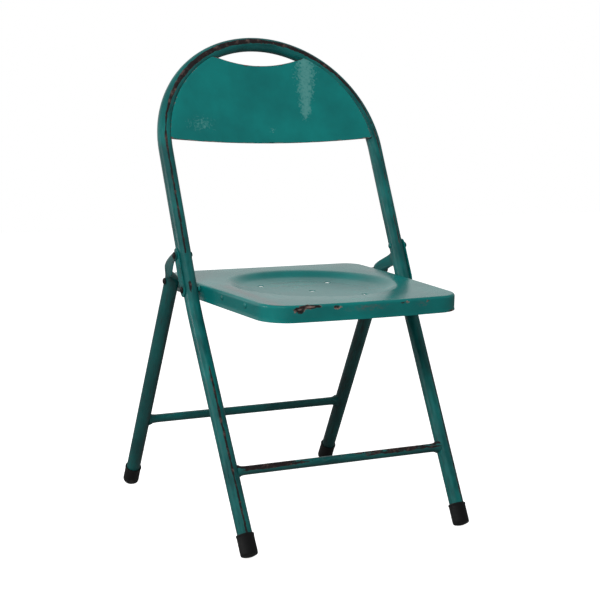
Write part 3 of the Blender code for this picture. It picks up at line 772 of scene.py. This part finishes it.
def seat_outline(piece):
    """Cuts a plate to the seat's plan: tapered to the front, bulged front edge, round corners."""
    edit(piece)
    for spot, way in (((0, SEAT_TAPER_START, 0), (0, 1, 0)), ((0, 0, 0), (1, 0, 0))):
        bpy.ops.mesh.bisect(plane_co=spot, plane_no=way)
        bpy.ops.mesh.select_all(action="SELECT")
    choose(piece, "verts", lambda v: v.co.y < SEAT_FRONT + 0.001)
    share = SEAT_FRONT_HALF_WIDTH / SEAT_HALF_WIDTH
    bpy.ops.transform.resize(value=(share, 1, 1), center_override=(0, SEAT_FRONT, 0))
    choose(piece, "verts", lambda v: v.co.y < SEAT_FRONT + 0.001 and abs(v.co.x) < 0.001)
    bpy.ops.transform.translate(value=(0, -SEAT_BULGE, 0))
    choose(piece, "edges", lambda edge: not edge.is_boundary)
    bpy.ops.mesh.dissolve_edges(use_verts=False)

    # Front corners, rear corners, the bulge and the start of the taper are rounded in turn
    for offset, segments, test in (
            (0.0415, 14, lambda v: abs(v.co.x) > 0.1 and abs(v.co.y - SEAT_FRONT) < 0.001),
            (0.0300, 12, lambda v: abs(v.co.x) > 0.1 and abs(v.co.y - SEAT_REAR) < 0.001),
            (0.080, 10, lambda v: abs(v.co.x) < 0.001 and v.co.y < SEAT_FRONT),
            (0.020, 4, lambda v: abs(v.co.x) > 0.1 and abs(v.co.y - SEAT_TAPER_START) < 0.001)):
        choose(piece, "verts", test)
        bpy.ops.mesh.bevel(offset=offset, segments=segments, affect="VERTICES")
    for _ in range(5):
        choose(piece, "edges", lambda edge: edge.calc_length() > SEAT_EDGE_STEP)
        bpy.ops.mesh.subdivide(number_cuts=1)


def on_rim(edge):
    """Whether an edge lies on the seat's outer outline rather than on the inner border."""
    middle = (edge.verts[0].co + edge.verts[1].co) / 2
    if len(edge.link_faces) != 1:
        return False
    return edge.link_faces[0].calc_center_median().xy.length < middle.xy.length


def dish_share(reach):
    """The dish's depth as a share, by the distance from its middle over its radius."""
    knots = ((0.0, 1.0), (0.45, 0.98), (0.72, 0.89), (0.86, 0.64), (0.94, 0.28), (0.99, 0.05), (1.045, 0.0))
    for (a, deep_a), (b, deep_b) in zip(knots, knots[1:]):
        if reach <= b:
            return deep_a + (deep_b - deep_a) * (reach - a) / (b - a)
    return 0.0


def seat_chips(v):
    """Chips down to rust on the seat's front rim and along its foot, by place in the chair."""
    x, y, z = v.co
    rim = bump_at(z, 0.3806, 0.0062)
    wedge = max(bump_at(x, -0.121, 0.014) * bump_at(z, 0.3785, 0.0070),
                bump_at(x, -0.104, 0.024) * bump_at(z, 0.3826, 0.0040))
    small = max(0.8 * bump_at(x, -0.060, 0.012), 0.7 * bump_at(x, 0.055, 0.016), 0.7 * bump_at(x, 0.1, 0.009))
    chips = max(small * rim, 1.1 * wedge) * (y < -0.232) * 0.66
    corner = bump_at(x, 0.146, 0.016) * bump_at(z, 0.3615, 0.0035) * (y < -0.2) * 0.55
    foot_z = SEAT_ORIGIN.z - 0.0265 + (y - SEAT_ORIGIN.y) * math.tan(SEAT_SLOPE)
    return max(chips, corner, 0.24 * bump_at(z, foot_z, 0.0016))


def seat_rub(v):
    """Paint rubbed thin: smudges on the front of the skirt, the left border and by the right rear leg."""
    x, y, z = v.co
    smudges = max(bump_at(x, -0.01, 0.07), 0.9 * bump_at(x, 0.09, 0.03))
    front = (y < -0.25) * bump_at(z, 0.377, 0.008) * smudges
    border = bump_at(x, -0.150, 0.020) * ease((0.02 - y) / 0.1) * (v.normal.z > 0.8)
    rear = bump_at(x, 0.160, 0.020) * bump_at(y, 0.01, 0.03) * (v.normal.z > 0.8)
    return max(0.80 * front, 0.85 * border, 0.75 * rear, 0.3 * (abs(v.normal.z) < 0.5))


class CHAIR_OT_seat(Operator):
    """Presses the seat: a round dish with five drain holes, a flat border and a turned-down skirt."""
    bl_idname = "chair.seat"
    bl_label = "Seat"

    def execute(self, context):
        size = sizes()
        rim_radius = size.dish_radius + DISH_SHOULDER
        middle = Vector((0, DISH_CENTRE, 0))
        start_clean()
        bpy.ops.mesh.primitive_plane_add(size=1, location=(0, (SEAT_REAR + SEAT_FRONT) / 2, 0))
        piece = bpy.context.object
        piece.name = "pressed_seat"
        bpy.ops.transform.resize(value=(SEAT_HALF_WIDTH * 2, SEAT_REAR - SEAT_FRONT, 1))
        settle(piece)
        seat_outline(piece)

        # The border narrows in three steps before the dish is joined to it
        bpy.ops.mesh.select_mode(type="FACE")
        bpy.ops.mesh.select_all(action="SELECT")
        for wide in (size.seat_edge * 1.6, 0.008, 0.012):
            bpy.ops.mesh.inset(thickness=wide)
        bpy.ops.mesh.delete(type="FACE")
        bpy.ops.mesh.primitive_circle_add(vertices=192, radius=rim_radius, location=middle)
        choose(piece, "edges", lambda edge: (edge.is_wire or edge.is_boundary)
               and (edge.verts[0].co - middle).length < SEAT_HALF_WIDTH - 0.012
               or edge.is_boundary and not on_rim(edge))
        bpy.ops.mesh.bridge_edge_loops()

        # The dish goes down in rings from the circle
        choose(piece, "edges", lambda edge: edge.is_boundary
               and (edge.verts[0].co - middle).length < rim_radius + 0.0005)
        was, level = rim_radius, 0.0
        rings, innermost = 30, 0.004
        for i in range(1, rings + 1):
            share = i / rings
            now = rim_radius * (1 - share) + innermost * share
            down = -size.dish_depth * dish_share(now / size.dish_radius)
            extrude(down - level, now / was, middle)
            was, level = now, down
        close_ring()

        # The skirt turns down from the outline and ends in a small hem
        choose(piece, "edges", lambda edge: edge.is_boundary)
        for down in (0.006, 0.006, 0.006, 0.0045, 0.0024):
            extrude(-down)
        bpy.ops.transform.shrink_fatten(value=0.0006)
        extrude(-0.0010)
        choose(piece, "edges", lambda edge: all(abs(v.co.z) < 1e-6 for v in edge.verts)
               and any(abs(face.normal.z) < 0.3 for face in edge.link_faces) and len(edge.link_faces) == 2)
        bpy.ops.mesh.bevel(offset=size.seat_edge, segments=5, affect="EDGES")
        thicken(piece, Vector((0, 0, 1)), size.seat_thickness, -1.0, even=True)

        for across, back in DRAINS:
            start_clean()
            bpy.ops.mesh.primitive_cylinder_add(vertices=32, radius=size.drain_radius, depth=0.06,
                                                location=(across, DISH_CENTRE + back, 0))
            cut_away(piece, bpy.context.object)
        piece.rotation_euler = (SEAT_SLOPE, 0, 0)
        piece.location = SEAT_ORIGIN
        settle(piece)
        age(piece, worn=seat_chips, grime=lambda v: 0.3 if v.co.z < 0.372 else 0.1, rubbed=seat_rub)
        dress(piece, "sheet_enamel", "seat", "seat_pan", 30)
        return {"FINISHED"}


# The rear legs

def sweep_point(distance):
    """A place on a rear leg's top bend by its distance from the leg pivot, and its direction."""
    top_rise = math.atan2(1, REAR_SLOPE) - SWEEP_ANGLE
    rise = top_rise + distance / SWEEP_RADIUS
    y = LEG_PIVOT.y + SWEEP_RADIUS * (math.sin(rise) - math.sin(top_rise))
    z = LEG_PIVOT.z - SWEEP_RADIUS * (math.cos(top_rise) - math.cos(rise))
    return Vector((0, y, z)), Vector((0, math.cos(rise), -math.sin(rise)))


def leg_ring(centre, way, side, width, thick, flat, around, swell=0.0):
    """A ring of the leg: round below, pressed to a bar in the ear, and swelled to the inside of its bend."""
    across = Vector((0, way.z, -way.y))
    ring = []
    for i in range(around):
        turn = 2 * math.pi * i / around
        u, v = math.cos(turn), math.sin(turn)
        u = math.copysign(abs(u) ** (1 - 0.10 * flat), u)
        v = math.copysign(abs(v) ** (1 - 0.45 * flat), v)
        reach = width + (EAR_SWELL * swell if u > 0 else 0.0)
        ring.append(centre + across * u * reach + Vector((side * v * thick, 0, 0)))
    return ring


def ear_ring(distance, side, around):
    """A ring of the leg's top bend at a distance from the leg pivot, below zero in the ear's tip."""
    spot, way = sweep_point(distance)
    flat = 1 - ease((distance - EAR_START) / EAR_BLEND)
    if distance < 0:
        width = math.sqrt(EAR_RADIUS ** 2 - distance ** 2)
    elif distance < EAR_START:
        width = EAR_RADIUS + (EAR_WIDTH - EAR_RADIUS) * ease(distance / EAR_START)
    else:
        width = REAR_RADIUS + (EAR_WIDTH - REAR_RADIUS) * flat
    thick = REAR_RADIUS + (EAR_THICK / 2 - REAR_RADIUS) * flat
    x = rear_leg_point(spot.z, 1).x
    x += (EAR_X - x) * flat
    spot.x = side * x
    swell = flat * bump_at(distance, 0.034, 0.0165)
    return leg_ring(spot, way, side, width, thick, flat, around, swell)


def rear_leg_wear(v):
    return 0.10 + 0.26 * bump_at(v.co.z, 0.43, 0.02) + 0.12 * bump_at(v.co.z, 0.06, 0.03)


class CHAIR_OT_rear_legs(Operator):
    """Shapes each rear leg: a straight tube, a bend at the top and an ear pressed flat."""
    bl_idname = "chair.rear_legs"
    bl_label = "Rear legs"

    def execute(self, context):
        around = sizes().tube_sides
        bend_length = SWEEP_RADIUS * SWEEP_ANGLE
        bend_steps, leg_steps = 56, 80
        stops = [-EAR_RADIUS * share for share in (0.999, 0.985, 0.95, 0.89, 0.8, 0.66, 0.5, 0.33, 0.16)]
        stops += [bend_length * i / bend_steps for i in range(bend_steps + 1)]
        top_z = sweep_point(bend_length)[0].z
        for side, side_name in SIDES:
            rings = [ear_ring(stop, side, around) for stop in stops]
            lengths = list(stops)
            low, high = rear_leg_point(TUBE_START, side), rear_leg_point(top_z, side)
            way = (low - high).normalized()
            for i in range(1, leg_steps + 1):
                spot = high.lerp(low, i / leg_steps)
                lengths.append(bend_length + (spot - high).length)
                rings.append(leg_ring(spot, way, side, REAR_RADIUS, REAR_RADIUS, 0.0, around))
            piece = ring_loft("rear_leg_" + side_name + "_tube", rings)

            # The two legs read the pattern 6 m apart, so their wear differs
            lay_out(piece, around, REAR_RADIUS, [along + side * 3 for along in lengths])
            # Grime: 0.66 of dirt, plus more on the faces turned to +X below the seat. That added part is
            # painted shade on the side away from the light
            age(piece, worn=rear_leg_wear,
                grime=lambda v: 0.66 + 0.4 * max(0.0, v.normal.x) * ease((0.40 - v.co.z) / 0.1))
            dress(piece, "tube_enamel", "rear_legs", "rear_leg_" + side_name)
        return {"FINISHED"}


# Stretchers

def front_bar_wear(v):
    """The front bar is rubbed bare along its top, most near its ends."""
    ends = max(bump_at(v.co.x, -0.135, 0.06), 0.7 * bump_at(v.co.x, 0.11, 0.07))
    return 0.10 + ease(v.normal.z * 1.4 + 0.45) * (0.24 + 0.24 * ends)


def rear_bar_wear(v):
    return 0.10 + 0.22 * ease(v.normal.z * 1.4 + 0.45)


class CHAIR_OT_stretchers(Operator):
    """Sets a round bar between the front legs and another between the rear legs, with brazed joints."""
    bl_idname = "chair.stretchers"
    bl_label = "Stretchers"

    def execute(self, context):
        bars = (
            ("front_stretcher", "front_frame", front_leg_point, FRONT_BAR_HEIGHT, FRONT_BAR_RADIUS,
             TUBE_RADIUS, front_bar_wear, lambda v: 0.5 * ease(v.normal.z)),
            ("rear_stretcher", "rear_legs", rear_leg_point, REAR_BAR_HEIGHT, REAR_BAR_RADIUS,
             REAR_RADIUS, rear_bar_wear, 0.2),
        )
        for name, body, point_at, height, radius, leg_radius, worn, rubbed in bars:
            right = point_at(height, 1)
            half = right.x - leg_radius * 0.72
            steps = 90
            path = [Vector((-half + 2 * half * i / steps, right.y, height)) for i in range(steps + 1)]
            piece = bent_tube(name + "_bar", path, radius, 28)
            around = len(piece.data.vertices) // len(path)

            # Brazing swells each end into a small fillet against the leg
            for vertex in piece.data.vertices:
                centre = path[vertex.index // around]
                gap = half - abs(centre.x) - leg_radius * 0.28
                swell = 1 + 0.5 * math.exp(-max(0.0, gap) / 0.0035)
                vertex.co = centre + (vertex.co - centre) * swell

            lay_out(piece, around, radius, [point.x + height * 20 for point in path])
            age(piece, worn=worn, grime=0.66, rubbed=rubbed)
            close_ends(piece)
            dress(piece, "tube_enamel", body, name)
        return {"FINISHED"}


# Feet

def foot_profile(leg_radius, outer, lean):
    """The ferrule's mouth, rolled rim, wall and crowned sole, for a leg whose axis rises by lean."""
    crown = (FOOT_CROWN - 0.0006) / lean
    half = math.asin(outer / FOOT_CROWN)
    edge = crown - FOOT_CROWN * math.cos(half)
    return (
        [(leg_radius - 0.0002, 0.0372), (leg_radius - 0.0002, 0.0388), (leg_radius + 0.0004, 0.0392)]
        + [(outer + wide, high) for wide, high in FOOT_WALL_SHAPE]
        + [(outer, edge + 0.0024), (outer - 0.0001, edge + 0.0015), (outer - 0.0006, edge + 0.0004)]
        + [(FOOT_CROWN * math.sin(half * share), crown - FOOT_CROWN * math.cos(half * share))
           for share in (0.9, 0.75, 0.55, 0.35, 0.15)])


class CHAIR_OT_feet(Operator):
    """Pushes a crowned rubber ferrule, worn flat at the floor, over the end of each leg."""
    bl_idname = "chair.feet"
    bl_label = "Feet"

    def execute(self, context):
        for end, body, point_at, leg_radius in (("front", "front_frame", front_leg_point, TUBE_RADIUS),
                                                ("rear", "rear_legs", rear_leg_point, REAR_RADIUS)):
            for side, side_name in SIDES:
                low = point_at(0, side)
                axis = (point_at(0.1, side) - low).normalized()
                profile = foot_profile(leg_radius, leg_radius + sizes().foot_wall, axis.z)
                piece = turned(end + "_foot_" + side_name + "_ferrule", profile, 48, low, axis)
                edit(piece)
                bpy.ops.mesh.bisect(plane_co=(0, 0, 0), plane_no=(0, 0, 1), clear_inner=True, use_fill=True)
                dress(piece, "moulded_rubber", body, end + "_foot_" + side_name, 32)
        return {"FINISHED"}


# Bolts, nuts and rivets

class CHAIR_OT_bolts(Operator):
    """Sets a domed bolt at each pivot and each stud."""
    bl_idname = "chair.bolts"
    bl_label = "Bolts"

    def execute(self, context):
        plate_out = HOOP_RADIUS + TUBE_RADIUS + CLEARANCE + PLATE_SHEET
        stud_x = rear_leg_point(STUD.z, 1).x + REAR_RADIUS + CLEARANCE
        kinds = (
            ("leg_pivot_bolt", "front_frame", LEG_PIVOT, EAR_X + EAR_THICK / 2 + CLEARANCE, 0.1842),
            ("seat_pivot_bolt", "front_frame", SEAT_PIVOT, plate_out + CLEARANCE, 0.1735),
            ("seat_stud", "rear_legs", STUD, stud_x, 0.1818),
        )
        for name, body, centre, head_x, tail_x in kinds:
            shank = head_x - tail_x
            profile = [(0.0006, 0.0030)] + [(BOLT_HEAD * share, high) for share, high in BOLT_DOME]
            profile += [(BOLT_SHANK, 0.0), (BOLT_SHANK, -shank + 0.0005), (0.0022, -shank)]
            for side, side_name in SIDES:
                spot = (side * head_x, centre.y, centre.z)
                piece = turned(f"{name}_{side_name}_head", profile, 28, spot, (side, 0, 0))
                dress(piece, "blackened_steel", body, f"{name}_{side_name}", 32)

        # The inner end of each leg pivot is hammered over into a low painted dome
        inner_x = HOOP_RADIUS - TUBE_RADIUS - 0.0001
        for side, side_name in SIDES:
            spot = (side * inner_x, LEG_PIVOT.y, LEG_PIVOT.z)
            piece = turned(f"leg_pivot_end_{side_name}", PIVOT_END, 28, spot, (-side, 0, 0))
            age(piece, worn=0.25, grime=0.6)
            dress(piece, "sheet_enamel", "front_frame", f"leg_pivot_nut_{side_name}", 32)
        return {"FINISHED"}


class CHAIR_OT_rivets(Operator):
    """Sets two round-headed rivets in each side of the seat."""
    bl_idname = "chair.rivets"
    bl_label = "Rivets"

    def execute(self, context):
        profile = [(0.0005, 0.0018)] + [(RIVET_HEAD * share, high) for share, high in RIVET_DOME]
        profile += [(0.0020, 0.0), (0.0020, -0.0040)]
        tilt = Matrix.Rotation(SEAT_SLOPE, 4, "X")
        for side, side_name in SIDES:
            for number, y in RIVETS:
                share = (SEAT_TAPER_START - y) / (SEAT_TAPER_START - SEAT_FRONT)
                x = SEAT_HALF_WIDTH - (SEAT_HALF_WIDTH - SEAT_FRONT_HALF_WIDTH) * share
                spot = SEAT_ORIGIN + tilt @ Vector((side * (x + 0.0002), y, RIVET_DROP))
                piece = turned(f"seat_rivet_{side_name}_{number}_head", profile, 24, spot, (side, 0, 0))
                age(piece, worn=0.30, grime=0.5)
                dress(piece, "sheet_enamel", "seat", f"seat_rivet_{side_name}_{number}", 32)
        return {"FINISHED"}


class CHAIR_OT_small_parts(Operator):
    """Paints the plates, rails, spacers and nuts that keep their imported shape."""
    bl_idname = "chair.small_parts"
    bl_label = "Plates, rails, spacers and nuts"

    def execute(self, context):
        for name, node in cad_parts.items():
            if name.startswith(("pivot_plate", "seat_rail", "seat_pivot_spacer")):
                coat(node, "sheet_enamel")
                age(node, worn=0.26, grime=0.6)
            elif "_nut_" in name:
                coat(node, "blackened_steel")
        return {"FINISHED"}


# The stage

def studio_floor():
    """A pale floor: white to the camera but for the object's shadow, and dim to the object."""
    start_clean()
    bpy.ops.mesh.primitive_plane_add(size=12, location=(0, 0, 0))
    floor = bpy.context.object
    floor.name = "studio_floor"
    made = bpy.data.materials.new("studio_floor")
    put = fresh_nodes(made)
    ray = put("LightPath", out="Is Camera Ray")
    body = put("BsdfDiffuse", {"Color": (0.82, 0.82, 0.82, 1)})
    glow = put("Emission", {"Color": (1, 1, 1, 1), "Strength": 0.95})
    dim = put("BsdfDiffuse", {"Color": (0.30, 0.30, 0.30, 1)})
    both = put("AddShader", (body, glow))
    seen = put("MixShader", (ray, dim, both))
    put("OutputMaterial", (seen,))
    floor.data.materials.append(made)


def studio_world(scene, sky):
    """White to the camera. On the object it is dim, and brighter from behind and from the left."""
    world = bpy.data.worlds.new("studio")
    scene.world = world
    put = fresh_nodes(world)
    ray = put("LightPath", out="Is Camera Ray")
    way = put("TexCoord", out="Generated")
    way_x, way_y = (put("SeparateXYZ", (way,), axis) for axis in "XY")
    back = put("MapRange", (way_y, 0.45, 0.92, 0.0, 0.60), **SMOOTH)
    left = put("MapRange", (way_x, -0.2, -0.9, sky, 0.32), **SMOOTH)
    around = put("Math", (back, left), operation="ADD")
    strength = put("Mix", {0: ray, 2: around, 3: 1.0})
    glow = put("Background", {"Color": (1, 1, 1, 1), "Strength": strength})
    put("OutputWorld", (glow,))


class CHAIR_OT_stage(Operator):
    """Sets the pale floor, the soft studio light and the camera."""
    bl_idname = "chair.stage"
    bl_label = "Stage"

    def execute(self, context):
        stage = context.scene.chair_stage
        scene = context.scene
        studio_floor()
        studio_world(scene, stage.sky)

        # Only the left light is seen in the gloss of the enamel
        lamps = (
            ("key_light", (-1.3, -1.6, 1.9), 1.3, stage.key),
            ("fill_light", (1.8, -0.9, 1.2), 1.2, stage.fill),
            ("top_light", (0.1, 0.4, 2.3), 1.5, stage.fill),
            ("left_light", (-2.3, 0.3, 1.0), 0.6, stage.fill * 1.1),
        )
        for name, spot, size, power in lamps:
            start_clean()
            bpy.ops.object.light_add(type="AREA", location=spot)
            lamp = bpy.context.object
            lamp.name = name
            lamp.data.size = size
            lamp.data.energy = power
            lamp.visible_glossy = name == "left_light"
            lamp.rotation_euler = (Vector(spot) - LAMP_TARGET).to_track_quat("Z", "Y").to_euler()

        start_clean()
        bpy.ops.object.camera_add(location=CAMERA_PLACE, rotation=CAMERA_TURN)
        camera = bpy.context.object
        camera.name = "studio_camera"
        camera.data.lens = stage.lens
        camera.data.sensor_width = 36
        camera.data.sensor_fit = "HORIZONTAL"
        scene.camera = camera
        scene.view_settings.view_transform = "Standard"
        return {"FINISHED"}


class CHAIR_PT_panel(Panel):
    """Lists the steps that dress the chair."""
    bl_label = "Folding chair"
    bl_idname = "CHAIR_PT_panel"
    bl_space_type = "VIEW_3D"
    bl_region_type = "UI"
    bl_category = "Chair"

    def draw(self, context):
        for step in STEPS:
            self.layout.operator(step.bl_idname)
        for group in ("chair_sizes", "chair_colours", "chair_stage"):
            box = self.layout.box()
            settings = getattr(context.scene, group)
            for name in settings.__annotations__:
                box.prop(settings, name)


STEPS = (
    CHAIR_OT_front_tube,
    CHAIR_OT_back_panel,
    CHAIR_OT_seat,
    CHAIR_OT_rear_legs,
    CHAIR_OT_stretchers,
    CHAIR_OT_feet,
    CHAIR_OT_bolts,
    CHAIR_OT_rivets,
    CHAIR_OT_small_parts,
    CHAIR_OT_stage,
)
CLASSES = (ChairSizes, ChairColours, StageSettings, *STEPS, CHAIR_PT_panel)


def register():
    for made in CLASSES:
        bpy.utils.register_class(made)
    bpy.types.Scene.chair_sizes = PointerProperty(type=ChairSizes)
    bpy.types.Scene.chair_colours = PointerProperty(type=ChairColours)
    bpy.types.Scene.chair_stage = PointerProperty(type=StageSettings)


def unregister():
    del bpy.types.Scene.chair_stage
    del bpy.types.Scene.chair_colours
    del bpy.types.Scene.chair_sizes
    for made in reversed(CLASSES):
        bpy.utils.unregister_class(made)


def main():
    register()
    for step in STEPS:
        group, action = step.bl_idname.split(".")
        getattr(getattr(bpy.ops, group), action)()
    start_clean()


if __name__ == "__main__":
    main()
